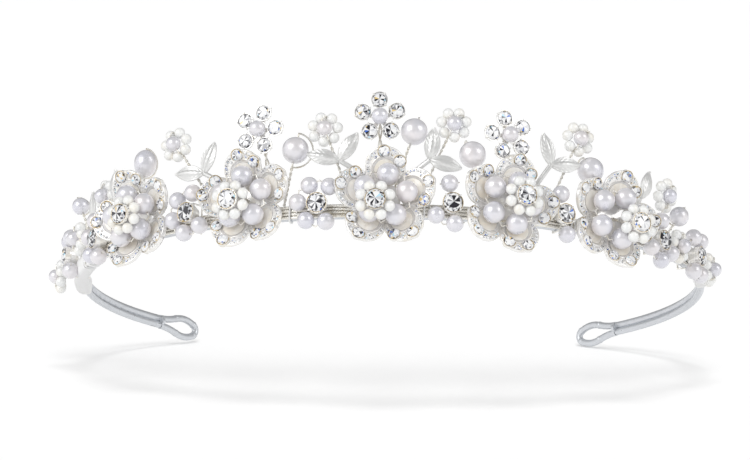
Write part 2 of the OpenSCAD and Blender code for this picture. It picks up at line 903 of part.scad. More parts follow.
// Points round a leaf's section: part of the half width, height in half thicknesses, share of the midrib
LEAF_SECTION = [
    [1, 0, 0],
    [0.6, 1, 0],
    [0.2, 1, 0],
    [0, 1, 1],
    [-0.2, 1, 0],
    [-0.6, 1, 0],
    [-1, 0, 0],
    [-0.5, -1, 0],
    [0.5, -1, 0]
];
LEAF_POINTS = len(LEAF_SECTION);
function leaf_half_w(t) = leaf_w / 2 * (0.1 + 0.9 * sin(180 * pow(t, 0.8)));
function dome_h(from_middle) = sqrt(leaf_dome * leaf_dome - from_middle * from_middle);
function leaf_z(y) = dome_h(y - leaf_len / 2) - dome_h(leaf_len / 2);
function leaf_ring(t) =
    let (w = leaf_half_w(t), y = t * leaf_len)
    [for (q = LEAF_SECTION)
        [q[0] * w, y, leaf_z(y) - q[0] * q[0] * w / 4 + q[1] * leaf_t / 2 + q[2] * leaf_rib]];

module leaf() {
    points = [for (i = [0 : LEAF_RINGS]) each leaf_ring(i / LEAF_RINGS)];
    sides = [for (i = [0 : LEAF_RINGS - 1], k = [0 : LEAF_POINTS - 1])
        let (a = i * LEAF_POINTS + k, b = i * LEAF_POINTS + (k + 1) % LEAF_POINTS)
        each [[a, b, a + LEAF_POINTS], [b, b + LEAF_POINTS, a + LEAF_POINTS]]];
    last = LEAF_RINGS * LEAF_POINTS;
    ends = [for (k = [1 : LEAF_POINTS - 2])
        each [[0, k + 1, k], [last, last + k, last + k + 1]]];
    polyhedron(points, concat(sides, ends));
}

module spray(s) {
    fork = [s[2].x, s[2].y, SPRAY_OUT];
    on_band(s[0], foot_h, seat_r - seat_gap - leaf_stem_d / 2) {
        bent_wire([[0, 0, 0], [0, s[1], 0], fork], leaf_stem_d);
        translate(fork) {
            sphere(d = 1.2 * leaf_stem_d);
            for (a = s[3])
                rotate([0, 0, a - 90])
                    leaf();
        }
    }
}

module leaf_spray(i) {
    color("gainsboro")
        spray(SPRAYS[i]);
}

module end_leaves() {
    color("gainsboro")
        for (s = END_LEAVES)
            spray(s);
}

FLOWER_PIECES = ["casting", "enamel", "rim_stones", "pearls", "seed_beads"];

band_wire();
wire_tails();
binding_wires();
tie_wires();
for (i = [1 : len(FLOWERS)]) {
    flower_casting(i - 1);
    flower_enamel(i - 1);
    flower_rim_stones(i - 1);
    flower_pearls(i - 1);
    flower_seed_beads(i - 1);
}
flower_lacing();
flower_posts();
centre_settings();
centre_stones();
cluster_settings();
cluster_stones();
cluster_pearls();
cluster_lacing();
for (i = [1 : len(STONE_DAISIES)])
    stone_daisy_frame(i - 1);
stone_daisy_stones();
stone_daisy_pearls();
stone_daisy_stems();
bead_daisy_beads();
bead_daisy_pearls();
bead_daisy_lacing();
bead_daisy_stems();
for (i = [1 : len(STEM_PEARLS)])
    stem_pearl(i - 1);
pearl_stems();
for (i = [1 : len(SPRAYS)])
    leaf_spray(i - 1);
end_leaves();
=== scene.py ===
import math
import random
from collections import namedtuple

import bmesh
import bpy
from mathutils import Matrix, Vector


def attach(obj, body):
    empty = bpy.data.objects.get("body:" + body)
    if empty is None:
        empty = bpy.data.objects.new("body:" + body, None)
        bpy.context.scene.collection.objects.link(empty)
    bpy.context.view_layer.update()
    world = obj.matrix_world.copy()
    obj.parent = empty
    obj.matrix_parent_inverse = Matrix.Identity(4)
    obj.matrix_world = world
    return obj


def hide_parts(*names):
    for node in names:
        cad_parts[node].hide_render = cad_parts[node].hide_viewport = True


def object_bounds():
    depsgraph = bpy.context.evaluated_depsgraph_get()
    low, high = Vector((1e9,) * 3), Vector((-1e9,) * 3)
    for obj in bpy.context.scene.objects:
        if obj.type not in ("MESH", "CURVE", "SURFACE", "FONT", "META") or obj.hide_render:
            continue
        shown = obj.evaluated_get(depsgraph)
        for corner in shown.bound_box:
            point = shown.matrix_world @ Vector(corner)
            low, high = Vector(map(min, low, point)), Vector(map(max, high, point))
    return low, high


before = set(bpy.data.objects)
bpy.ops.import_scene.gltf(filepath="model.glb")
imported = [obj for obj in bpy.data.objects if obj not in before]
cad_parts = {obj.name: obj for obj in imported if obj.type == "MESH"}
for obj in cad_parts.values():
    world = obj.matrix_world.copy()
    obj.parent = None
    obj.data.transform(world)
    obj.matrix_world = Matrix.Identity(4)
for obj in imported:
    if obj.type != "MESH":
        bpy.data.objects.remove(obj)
cad_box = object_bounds()

MM = 0.001
ORIGIN = (0, 0, 0)
# How near in metres a face is to its level and a leaf's point to its row
SAME_LEVEL, SAME_ROW = 1e-6, 1e-5

# Layout of the ornaments, in the same millimetres and degrees as the solids
BAND_R, WIRE_D, SEAT_GAP = 73, 1.7, 0.05
STEM_D, LACE_D, STRAND_D = 0.7, 0.3, 0.4
WEAR_TILT = 19
BAND_OUT = BAND_R + WIRE_D / 2
TAIL_R = BAND_OUT + SEAT_GAP + STEM_D / 2
SEAT_R = TAIL_R + STEM_D / 2 + SEAT_GAP
TAILS_H = 3 * (STEM_D + SEAT_GAP) + STEM_D
FOOT_H = TAILS_H / 2 + SEAT_GAP

PETALS, PETAL_STEP = 5, 72
PETAL_RING, PETAL_R, PETAL_CUP, PETAL_RISE = 7, 4.5, 20, 2.1
BOWL_R, BOWL_SHIFT = 3.1, 0.9
RIM_STONES, RIM_RING, RIM_STONE_D, COLLAR_H = (5, -70), 3.4, 2.6, 0.5
FLOWER_PEARL_D, FLOWER_PEARL_RING, PEARL_TURN = 4.9, 4.9, -7
CLUSTER_PEARL_D, DAISY_PEARL_D, EYE_PEARL_D = 3.9, 3.7, 3.4
SEED_D, SEED_LEN = 2.3, 1.8
CROWN_BEADS, DAISY_BEADS = 8, 7
CROWN_RING, DAISY_BEAD_RING, EYE_RISE = 3.4, 2.8, 1.3
CENTRE_STONE_D, CLUSTER_STONE_D, DAISY_STONE_D = 4.3, 4.3, 3.3
CENTRE_OVER_BEADS = 0.5
CLAW_R, SETTING_WALL = 0.2, 0.15
CLUSTER_SETTING_H, DAISY_SETTING_H, DAISY_PLATE_T = 3.15, 1.7, 0.5
PEARL_Z = (
    PETAL_RISE
    + (FLOWER_PEARL_RING - PETAL_RING) * math.tan(math.radians(PETAL_CUP))
    + FLOWER_PEARL_D / 2 / math.cos(math.radians(PETAL_CUP))
)
CROWN_Z = PEARL_Z + (FLOWER_PEARL_D + SEED_D) / 2 + SEAT_GAP
CENTRE_RISE = SEED_D / 2 + CENTRE_OVER_BEADS
CLUSTER_RING = (
    CLUSTER_STONE_D / 2 + 2 * SEAT_GAP + SETTING_WALL + CLAW_R + CLUSTER_PEARL_D / 2
)
DAISY_RING = DAISY_PEARL_D / 2 + DAISY_STONE_D / 2 + 2 * SEAT_GAP + SETTING_WALL + CLAW_R
LAID_Z = SEED_D / 2 + SEAT_GAP
COLLAR_R = RIM_STONE_D / 2 + SEAT_GAP + SETTING_WALL

# A flower turned to the side is lifted by this share of its ring's lean
FLOWER_LIFT = 0.65
Flower = namedtuple("Flower", "angle height petal_turn centre_shift side_turn")
FLOWERS = [
    Flower(-49, 3.2, 16, (1.6, -0.7), 11),
    Flower(-25.2, 3.2, 7, (-1, -1.3), 0),
    Flower(-1.3, 2.3, 0, (-2, -2), 0),
    Flower(19.4, 2.2, -14, (1.7, 0.7), 0),
    Flower(39.8, 2.2, -17, (3, -1.9), -10),
]
# Of a cluster's six slots, those listed hold a pearl
SLOT_STEP = 60
Cluster = namedtuple("Cluster", "angle height turn slots")
CLUSTERS = [
    Cluster(-36.5, 1.9, 75, (0, 1, 2, 3, 4)),
    Cluster(-12.5, 1.2, 55, (0, 1, 2, 3, 4)),
    Cluster(9.8, 1.4, 38, (1, 3, 4)),
    Cluster(29.7, 1.4, 40, (1, 4)),
    Cluster(-62, 1.8, 45, (1, 2, 3, 4)),
    Cluster(52.5, 0.4, 30, (1, 3, 4, 5)),
    Cluster(-80.5, 3, 0, (1, 2, 5)),
    Cluster(66, 0.4, 0, (1, 2, 4, 5)),
]
# A stem's length goes from its foot on the band to the ornament's middle
Stem = namedtuple("Stem", "angle lean_along lean_out length")
STONE_DAISIES = [Stem(-20.6, -11, 0, 17.9), Stem(-2.3, 0, 0, 19.2), Stem(21.1, -7, 0, 16.6)]
STONE_DAISY_TURNS = [-27, 2, 8]
BEAD_DAISIES = [
    Stem(-31.3, -35, 0, 20.9),
    Stem(-7, -20, 0, 18.1),
    Stem(4, 24, 0, 20),
    Stem(27.2, 24.5, 0, 20),
    Stem(-60, -12, 2, 10.6),
    Stem(54.1, 0, 12, 10),
]
# A daisy laid on the band has a hook in place of a stem, and stands off the seat a little
LaidDaisy = namedtuple("LaidDaisy", "angle height off")
LAID_DAISIES = [
    LaidDaisy(-74, 5.2, 0),
    LaidDaisy(59.5, 0.9, 0),
    LaidDaisy(-87, 0, 2.4),
    LaidDaisy(73.5, -0.6, 0.8),
]
STEM_PEARLS = [
    Stem(-50.5, 6, 0, 15.1),
    Stem(-18.9, 11, 0, 12.9),
    Stem(-0.6, 18, 0, 17.2),
    Stem(18.2, -27, 0, 13.2),
    Stem(44, -40, -2, 15.2),
    Stem(-67.5, -22, 12, 11.5),
    Stem(55.9, 30, 18, 7.4),
]
STEM_PEARL_D = [6, 6, 6, 6, 6, 4, 4.5]
# The side on which the strand comes back round a stem pearl, and its gap from the pearl
STRAND_SIDE = [-90, -160, -90, -90, -90, -90, -90]
STRAND_OFF = [0.2, 0.7, 0.2, 0.2, 0.2, 0.2, 0.2]


# Places
def move(x, y, z):
    return Matrix.Translation((x * MM, y * MM, z * MM))


def turn(degrees, axis):
    return Matrix.Rotation(math.radians(degrees), 4, axis)


def on_band(angle, height=0, out=SEAT_R):
    return turn(-WEAR_TILT, "X") @ turn(angle, "Z") @ move(0, -out, height) @ turn(90, "X")


def on_stem(stem, along=0):
    foot = on_band(stem.angle, FOOT_H, TAIL_R)
    return foot @ turn(-stem.lean_along, "Z") @ turn(stem.lean_out, "X") @ move(0, along, 0)


def on_flower(flower):
    off = PETAL_RING * math.sin(math.radians(abs(flower.side_turn))) * FLOWER_LIFT
    seat = on_band(flower.angle, flower.height)
    return seat @ move(0, 0, off) @ turn(flower.side_turn, "Y")


def on_petals(flower):
    return [
        on_flower(flower)
        @ turn(90 + flower.petal_turn + PETAL_STEP * k, "Z")
        @ move(PETAL_RING, 0, PETAL_RISE)
        @ turn(-PETAL_CUP, "Y")
        for k in range(PETALS)
    ]


def on_crown(flower):
    return on_flower(flower) @ move(*flower.centre_shift, CROWN_Z)


def flower_pearl_places(flower):
    return [
        on_flower(flower)
        @ turn(90 + flower.petal_turn + PEARL_TURN + PETAL_STEP * k, "Z")
        @ move(FLOWER_PEARL_RING, 0, PEARL_Z)
        @ turn(90, "Z")
        @ turn(90, "Y")
        for k in range(PETALS)
    ]


def rim_stone_places(flower):
    return [
        petal @ turn(angle, "Z") @ move(RIM_RING, 0, COLLAR_H)
        for petal in on_petals(flower)
        for angle in RIM_STONES
    ]


def cluster_pearl_places():
    return [
        on_band(c.angle, c.height)
        @ turn(c.turn + SLOT_STEP * k, "Z")
        @ move(CLUSTER_RING, 0, CLUSTER_PEARL_D / 2 + SEAT_GAP)
        @ turn(90, "Z")
        @ turn(90, "Y")
        for c in CLUSTERS
        for k in c.slots
    ]


def cluster_stone_places():
    rise = CLUSTER_SETTING_H + SEAT_GAP
    return [on_band(c.angle, c.height) @ move(0, 0, rise) for c in CLUSTERS]


def bead_daisy_places():
    on_stems = [on_stem(d, d.length) @ turn(-90, "Z") for d in BEAD_DAISIES]
    laid = [
        on_band(d.angle, d.height) @ move(0, 0, LAID_Z + d.off) @ turn(90, "Z")
        for d in LAID_DAISIES
    ]
    return on_stems + laid


def stone_daisy_places():
    return [
        on_stem(d, d.length) @ move(0, 0, STEM_D / 2 + SEAT_GAP) @ turn(a, "Z")
        for d, a in zip(STONE_DAISIES, STONE_DAISY_TURNS)
    ]


# Modelling steps
def start():
    if bpy.context.mode != "OBJECT":
        bpy.ops.object.mode_set(mode="OBJECT")
    bpy.ops.object.select_all(action="DESELECT")


def edit(mode):
    bpy.ops.object.mode_set(mode="EDIT")
    bpy.ops.mesh.select_mode(type=mode)
    bpy.ops.mesh.select_all(action="DESELECT")


def edit_all():
    edit("VERT")
    bpy.ops.mesh.select_all(action="SELECT")


def pick_faces(piece, wanted):
    edit("FACE")
    shape = bmesh.from_edit_mesh(piece.data)
    for face in shape.faces:
        face.select_set(wanted(face.calc_center_median()))
    bmesh.update_edit_mesh(piece.data)


def pick_level(piece, z):
    pick_faces(piece, lambda c: abs(c.z - z) < SAME_LEVEL)


def pick_points(piece, wanted):
    edit("VERT")
    shape = bmesh.from_edit_mesh(piece.data)
    for point in shape.verts:
        point.select_set(wanted(point.co))
    shape.select_flush(True)
    bmesh.update_edit_mesh(piece.data)


def extrude(rise):
    bpy.ops.mesh.extrude_region_move(TRANSFORM_OT_translate={"value": (0, 0, rise)})


def scale(x, y, z, centre=ORIGIN):
    bpy.ops.transform.resize(value=(x, y, z), center_override=centre)


def lift(rise):
    bpy.ops.transform.translate(value=(0, 0, rise))


def keep_place():
    bpy.ops.object.transform_apply(location=True, rotation=False, scale=False)


def done(piece, smooth=True):
    bpy.ops.object.mode_set(mode="OBJECT")
    if smooth:
        bpy.ops.object.shade_smooth()
    return piece


def place_mesh(piece, place):
    piece.data.transform(place)
    return piece


def join(pieces, name):
    start()
    for piece in pieces:
        piece.select_set(True)
    bpy.context.view_layer.objects.active = pieces[0]
    if len(pieces) > 1:
        bpy.ops.object.join()
    pieces[0].name = name
    return pieces[0]


def set_out(model, name, places):
    copies = []
    for place in places:
        copy = model.copy()
        copy.data = model.data.copy()
        bpy.context.collection.objects.link(copy)
        copies.append(place_mesh(copy, place))
    return join(copies, name)


def paint(piece, *finishes):
    piece.data.materials.clear()
    for finish in finishes:
        piece.data.materials.append(finish)


def wear(piece, slot, *nodes, body="tiara"):
    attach(piece, body)
    if nodes:
        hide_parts(*nodes)


def put_away(model):
    bpy.data.objects.remove(model)


# Each row is a piece made of copies of the model: its name, their places, the nodes it replaces
def wear_copies(model, finish, slot, rows):
    paint(model, finish)
    for name, places, *nodes in rows:
        wear(set_out(model, name, places), slot, *nodes)
    put_away(model)


# Finishes
def new_finish(name, colour, roughness, metallic=0.0):
    finish = bpy.data.materials.new(name)
    finish.use_nodes = True
    shader = finish.node_tree.nodes["Principled BSDF"]
    shader.inputs["Base Color"].default_value = (*colour, 1)
    shader.inputs["Roughness"].default_value = roughness
    shader.inputs["Metallic"].default_value = metallic
    return finish, finish.node_tree, shader


def coat(shader, weight, roughness):
    shader.inputs["Coat Weight"].default_value = weight
    shader.inputs["Coat Roughness"].default_value = roughness


def clouds(tree, density, detail=2.0):
    where = tree.nodes.new("ShaderNodeTexCoord")
    noise = tree.nodes.new("ShaderNodeTexNoise")
    noise.inputs["Scale"].default_value = density
    noise.inputs["Detail"].default_value = detail
    tree.links.new(where.outputs["Object"], noise.inputs["Vector"])
    return noise


def arithmetic(tree, operation, first, second=0.0):
    step = tree.nodes.new("ShaderNodeMath")
    step.operation = operation
    for socket, value in zip(step.inputs, (first, second)):
        if isinstance(value, (int, float)):
            socket.default_value = value
        else:
            tree.links.new(value, socket)
    return step.outputs[0]


def map_range(tree, source, given, wanted):
    span = tree.nodes.new("ShaderNodeMapRange")
    for socket, value in zip(("From Min", "From Max", "To Min", "To Max"), (*given, *wanted)):
        span.inputs[socket].default_value = value
    tree.links.new(source, span.inputs["Value"])
    return span


def tint(tree, shader, source, stops):
    ramp = tree.nodes.new("ShaderNodeValToRGB")
    for end, (place, colour) in zip(ramp.color_ramp.elements, (stops[0], stops[-1])):
        end.position = place
        end.color = (*colour, 1)
    for place, colour in stops[1:-1]:
        ramp.color_ramp.elements.new(place).color = (*colour, 1)
    tree.links.new(source, ramp.inputs["Fac"])
    tree.links.new(ramp.outputs["Color"], shader.inputs["Base Color"])
    return ramp.color_ramp


# Most values of a cloud lie between these two
CLOUD_RANGE = (0.3, 0.7)


def vary_roughness(tree, shader, source, low, high):
    span = map_range(tree, source, CLOUD_RANGE, (low, high))
    tree.links.new(span.outputs["Result"], shader.inputs["Roughness"])


def relief(tree, shader, source, strength, depth):
    bump = tree.nodes.new("ShaderNodeBump")
    bump.inputs["Strength"].default_value = strength
    bump.inputs["Distance"].default_value = depth * MM
    tree.links.new(source, bump.inputs["Height"])
    tree.links.new(bump.outputs["Normal"], shader.inputs["Normal"])


def pearl_finish():
    finish, tree, shader = new_finish("pearl", (0.82, 0.81, 0.84), 0.3, 0.32)
    broad = clouds(tree, 160).outputs["Fac"]
    stops = [(0.3, (0.77, 0.77, 0.84)), (0.5, (0.82, 0.81, 0.85)), (0.7, (0.88, 0.84, 0.85))]
    tint(tree, shader, broad, stops)
    vary_roughness(tree, shader, broad, 0.25, 0.34)
    coat(shader, 1.0, 0.11)
    return finish


def seed_finish():
    finish, tree, shader = new_finish("seed_bead", (0.93, 0.93, 0.91), 0.3, 0.08)
    broad = clouds(tree, 300).outputs["Fac"]
    stops = [(0.32, (0.92, 0.93, 0.93)), (0.52, (0.97, 0.97, 0.95)), (0.7, (0.97, 0.94, 0.87))]
    tint(tree, shader, broad, stops)
    vary_roughness(tree, shader, broad, 0.25, 0.36)
    coat(shader, 0.5, 0.15)
    return finish


def enamel_finish():
    finish, tree, shader = new_finish("nacre_enamel", (0.97, 0.94, 0.88), 0.25, 0.05)
    noise = clouds(tree, 260)
    noise.inputs["Distortion"].default_value = 1.2
    swirl = noise.outputs["Fac"]
    stops = [(0.3, (0.96, 0.89, 0.77)), (0.5, (0.98, 0.94, 0.86)), (0.68, (0.99, 0.97, 0.93))]
    tint(tree, shader, swirl, stops)
    vary_roughness(tree, shader, swirl, 0.2, 0.34)
    relief(tree, shader, swirl, 0.1, 0.04)
    coat(shader, 0.6, 0.12)
    return finish


def silver_finish(name, pale, dark, rough, grain, depth, metallic=1.0):
    finish, tree, shader = new_finish(name, pale, rough, metallic)
    broad = clouds(tree, 500, 3).outputs["Fac"]
    tint(tree, shader, broad, [(0.3, dark), (0.5, pale), (0.8, pale)])
    fine = clouds(tree, grain, 4).outputs["Fac"]
    vary_roughness(tree, shader, fine, rough * 0.75, rough * 1.4)
    relief(tree, shader, fine, 0.25, depth)
    return finish


# Faint veins slant from a leaf's midrib towards its edge, along its own unwrapped map
VEINS, VEIN_SLANT = 44, 0.6


def leaf_finish():
    finish, tree, shader = new_finish("leaf_silver", (0.81, 0.81, 0.8), 0.34, 0.55)
    broad = clouds(tree, 500).outputs["Fac"]
    tint(tree, shader, broad, [(0.3, (0.76, 0.76, 0.75)), (0.6, (0.83, 0.83, 0.82))])
    fine = clouds(tree, 2600, 4).outputs["Fac"]
    vary_roughness(tree, shader, fine, 0.28, 0.42)
    unwrapped = tree.nodes.new("ShaderNodeUVMap")
    spot = tree.nodes.new("ShaderNodeSeparateXYZ")
    tree.links.new(unwrapped.outputs["UV"], spot.inputs[0])
    across = arithmetic(tree, "SUBTRACT", spot.outputs["X"], 0.5)
    beside = arithmetic(tree, "ABSOLUTE", across)
    behind = arithmetic(tree, "MULTIPLY", beside, VEIN_SLANT)
    along = arithmetic(tree, "SUBTRACT", spot.outputs["Y"], behind)
    veins = arithmetic(tree, "SINE", arithmetic(tree, "MULTIPLY", along, VEINS))
    relief(tree, shader, veins, 0.25, 0.05)
    return finish


# Painted reflections: each facet of a cut stone is coloured light, dark, blue or amber, as if it
# mirrored another patch of the room, picked by a number kept on the facet
PAINTED_FACET_REFLECTIONS = [
    (0.0, (0.012, 0.012, 0.02)),
    (0.09, (0.3, 0.3, 0.32)),
    (0.17, (0.66, 0.67, 0.7)),
    (0.3, (0.86, 0.87, 0.89)),
    (0.46, (0.97, 0.97, 0.97)),
    (0.945, (0.05, 0.16, 0.62)),
    (0.96, (0.5, 0.8, 0.95)),
    (0.98, (0.82, 0.62, 0.28)),
]


# The stones' base colour is painted reflection, one colour per facet, under a glossy coat
def painted_reflection_finish(name):
    finish, tree, shader = new_finish(name, (0.95, 0.96, 0.98), 0.05)
    facet = tree.nodes.new("ShaderNodeAttribute")
    facet.attribute_name = "facet"
    tint(tree, shader, facet.outputs["Fac"], PAINTED_FACET_REFLECTIONS).interpolation = "CONSTANT"
    shader.inputs["IOR"].default_value = 1.6
    coat(shader, 1.0, 0.03)
    return finish


PEARL = pearl_finish()
SEED = seed_finish()
ENAMEL = enamel_finish()
LEAF = leaf_finish()
CRYSTAL_PAINTED_REFLECTIONS = painted_reflection_finish("clear_stone")
# Silver: pale colour, dark colour, roughness, density and depth of the grain, share of metal
CAST = silver_finish("cast_silver", (0.98, 0.97, 0.95), (0.91, 0.87, 0.79), 0.18, 1800, 0.02, 0.45)
BAND = silver_finish("band_satin", (0.68, 0.7, 0.73), (0.65, 0.67, 0.7), 0.36, 1500, 0.01, 0.7)
FINE = silver_finish("fine_wire", (0.88, 0.86, 0.81), (0.72, 0.67, 0.57), 0.24, 2600, 0.01, 0.8)
PALE = silver_finish("binding_wire", (0.96,) * 3, (0.93, 0.93, 0.92), 0.45, 1500, 0.004, 0.1)
FOIL = silver_finish("mirror_foil", (0.9, 0.9, 0.92), (0.8, 0.8, 0.82), 0.08, 1200, 0.01)
# The gilt's brown-gold is partly a painted warm reflection beside the stones
GILT_AND_PAINTED_REFLECTION = silver_finish("gilt_edge_and_painted_reflection", (0.66, 0.53, 0.32), (0.4, 0.29, 0.14), 0.25, 2600, 0.02)

# The first of these words that a CAD node's name holds gives its finish, and the rest are cast
NODE_FINISHES = [
    ("band_wire", BAND),
    ("wire", FINE),
    ("lacing", FINE),
    ("stems", FINE),
    ("posts", FINE),
    ("leaf", LEAF),
    ("leaves", LEAF),
    ("enamel", ENAMEL),
    ("stones", FOIL),
    ("beads", SEED),
    ("pearl", PEARL),
    ("", CAST),
]
for name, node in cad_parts.items():
    paint(node, next(finish for word, finish in NODE_FINISHES if word in name))


# Pearls: a ball with a drilled hole, whose lip is sunk at both ends
HOLE_ROOM, PEG_ROOM, HOLE_DEPTH, LEAST_LIP = 0.12, 0.3, 0.5, 0.02
OVAL = (0.87, 0.87, 1.04)


def string_pearl(d, hole_d, around=32):
    start()
    r = d / 2 * MM
    ring = 2 * math.pi / around
    bpy.ops.mesh.primitive_uv_sphere_add(
        segments=around, ring_count=around // 2, radius=r, location=ORIGIN
    )
    pearl = bpy.context.object
    lip = r * math.sin(ring) - hole_d / 2 * MM
    for side in (1, -1):
        pick_faces(pearl, lambda c: c.z * side > r * math.cos(ring))
        bpy.ops.mesh.inset(thickness=max(lip, LEAST_LIP * MM), depth=0)
        extrude(-side * HOLE_DEPTH * MM)
    return done(pearl)


lace_hole = LACE_D + HOLE_ROOM
rings = [
    (f"flower_{i}_pearl_ring", flower_pearl_places(flower), f"flower_{i}_pearls")
    for i, flower in enumerate(FLOWERS, 1)
]
wear_copies(string_pearl(FLOWER_PEARL_D, lace_hole), PEARL, "pearl", rings)
clusters = ("cluster_pearl_sprays", cluster_pearl_places(), "cluster_pearls")
wear_copies(string_pearl(CLUSTER_PEARL_D, lace_hole), PEARL, "pearl", [clusters])
places = [daisy @ move(0, 0, EYE_RISE) @ turn(90, "Y") for daisy in bead_daisy_places()]
eyes = ("bead_daisy_eyes", places, "bead_daisy_pearls")
wear_copies(string_pearl(EYE_PEARL_D, lace_hole), PEARL, "pearl", [eyes])
rise = DAISY_PLATE_T + SEAT_GAP + DAISY_PEARL_D / 2
places = [daisy @ move(0, 0, rise) @ turn(90, "Y") for daisy in stone_daisy_places()]
eyes = ("stone_daisy_eyes", places, "stone_daisy_pearls")
wear_copies(string_pearl(DAISY_PEARL_D, LACE_D + PEG_ROOM), PEARL, "pearl", [eyes])

# The stem pearls turn on their strands, and the first one is a little oval
for i, (stem, d) in enumerate(zip(STEM_PEARLS, STEM_PEARL_D), 1):
    pearl = string_pearl(d, STRAND_D + HOLE_ROOM, 40)
    if i == 1:
        edit_all()
        scale(*OVAL)
        done(pearl)
    paint(pearl, PEARL)
    place = on_stem(stem, stem.length) @ turn(-90, "X")
    piece = set_out(pearl, f"stem_pearl_{i}_lustre", [place])
    wear(piece, "pearl", f"stem_pearl_{i}", body=f"stem_pearl_{i}")
    put_away(pearl)


# Seed beads: a ball cut off at both ends, each end with a sloping lip and a sunk hole
SEED_BULGE, SEED_ENDS, SEED_LIP, SEED_LIP_DROP, SEED_HOLE_DEPTH = 0.1, 0.26, 0.3, 0.06, 0.4
SEED_SWAY = 7


def seed_bead():
    start()
    r = (SEED_D / 2 + SEED_BULGE) * MM
    bpy.ops.mesh.primitive_uv_sphere_add(segments=16, ring_count=10, radius=r, location=ORIGIN)
    bead = bpy.context.object
    for side in (1, -1):
        end = side * (SEED_LEN / 2 + SEED_ENDS) * MM
        edit_all()
        bpy.ops.mesh.bisect(
            plane_co=(0, 0, end), plane_no=(0, 0, side), clear_outer=True, use_fill=True
        )
        pick_level(bead, end)
        bpy.ops.mesh.inset(thickness=SEED_LIP * MM, depth=-SEED_LIP_DROP * MM)
        extrude(-side * SEED_HOLE_DEPTH * MM)
    return done(bead)


# The beads of a ring sit a little askew, each in another way than the one before
def seed_ring(place, r, count):
    return [
        place
        @ turn((k + 0.5) * (360 / count), "Z")
        @ move(r, 0, 0)
        @ turn(90, "X")
        @ turn(SEED_SWAY * (k * 3 % 5 - 2), "Y")
        for k in range(count)
    ]


bead_rings = [
    (
        f"flower_{i}_bead_crown",
        seed_ring(on_crown(flower), CROWN_RING, CROWN_BEADS),
        f"flower_{i}_seed_beads",
    )
    for i, flower in enumerate(FLOWERS, 1)
]
places = [
    bead
    for daisy in bead_daisy_places()
    for bead in seed_ring(daisy, DAISY_BEAD_RING, DAISY_BEADS)
]
bead_rings.append(("bead_daisy_rings", places, "bead_daisy_beads"))
wear_copies(seed_bead(), SEED, "seed_bead", bead_rings)


# Stones: two rows of facets above the girdle and two below, a poked table, foil on the pavilion
GIRDLE, TABLE_RISE = 0.06, 0.02
# Row of facets: up or down, its height as a share of the stone, and how far it draws in
FACET_ROWS = [(1, 0.09, 0.84), (1, 0.07, 0.8), (-1, 0.2, 0.58), (-1, 0.19, 0.1)]
FOIL_INDEX, UNDER_GIRDLE = 1, 1.02


def cut_stone(d, sides):
    start()
    d = d * MM
    girdle = GIRDLE * d
    bpy.ops.mesh.primitive_cylinder_add(
        vertices=sides, radius=d / 2, depth=girdle, location=(0, 0, -girdle / 2)
    )
    stone = bpy.context.object
    keep_place()
    level = {1: 0.0, -1: -girdle}
    for side, rise, share in FACET_ROWS:
        at = level[side]
        pick_level(stone, at)
        extrude(side * rise * d)
        scale(share, share, 1, (0, 0, at))
        bpy.ops.transform.rotate(value=math.pi / sides, orient_axis="Z", center_override=ORIGIN)
        level[side] = at + side * rise * d
    pick_level(stone, level[1])
    bpy.ops.mesh.poke(offset=TABLE_RISE * d)
    bpy.ops.mesh.select_all(action="SELECT")
    bpy.ops.mesh.quads_convert_to_tris()
    paint(stone, CRYSTAL_PAINTED_REFLECTIONS, FOIL)
    pick_faces(stone, lambda c: c.z < -girdle * UNDER_GIRDLE)
    stone.active_material_index = FOIL_INDEX
    bpy.ops.object.material_slot_assign()
    return done(stone, smooth=False)


# The facets' painted reflections are drawn in the order of their places, which is the same in
# every run.
# The higher the darkness, the more facets get a dark painted reflection
def paint_facet_reflections(piece, seed, dark):
    chance = random.Random(seed)
    shade = piece.data.attributes.new("facet", "FLOAT", "FACE")
    facets = piece.data.polygons
    for facet in sorted(facets, key=lambda f: [round(c / MM, 3) for c in f.center]):
        shade.data[facet.index].value = chance.random() ** dark
    return piece


# Each row is a piece of copies with painted facet reflections: name, places, seed, darkness, the
# nodes it replaces
def wear_painted_reflections(model, rows):
    for name, places, seed, dark, *nodes in rows:
        piece = paint_facet_reflections(set_out(model, name, places), seed, dark)
        wear(piece, "clear_stone", *nodes)
    put_away(model)


# Seeds and darkness of the painted reflections on the facets, and how many sides each cut has
RIM_SEED, CENTRE_SEED, CLUSTER_SEED, DAISY_SEED, PAVE_SEED = 10, 20, 21, 22, 30
EVEN, CENTRE_DARK, CLUSTER_DARK, DAISY_DARK = 1.0, 1.25, 2.6, 1.3
RIM_SIDES, LARGE_SIDES, DAISY_SIDES = 10, 16, 12

rim_stones = [
    (
        f"flower_{i}_rim_brilliants",
        rim_stone_places(flower),
        RIM_SEED + i,
        EVEN,
        f"flower_{i}_rim_stones",
    )
    for i, flower in enumerate(FLOWERS, 1)
]
wear_painted_reflections(cut_stone(RIM_STONE_D, RIM_SIDES), rim_stones)

# The centre stones and the cluster stones are of one size
centre_places = [on_crown(flower) @ move(0, 0, CENTRE_RISE) for flower in FLOWERS]
cluster_places = cluster_stone_places()
large_stones = [
    ("centre_brilliants", centre_places, CENTRE_SEED, CENTRE_DARK, "centre_stones"),
    ("cluster_brilliants", cluster_places, CLUSTER_SEED, CLUSTER_DARK, "cluster_stones"),
]
wear_painted_reflections(cut_stone(CENTRE_STONE_D, LARGE_SIDES), large_stones)

daisy_places = [
    daisy @ turn(90 + PETAL_STEP * k, "Z") @ move(DAISY_RING, 0, DAISY_SETTING_H)
    for daisy in stone_daisy_places()
    for k in range(PETALS)
]
daisy_stones = [
    ("stone_daisy_brilliants", daisy_places, DAISY_SEED, DAISY_DARK, "stone_daisy_stones")
]
wear_painted_reflections(cut_stone(DAISY_STONE_D, DAISY_SIDES), daisy_stones)


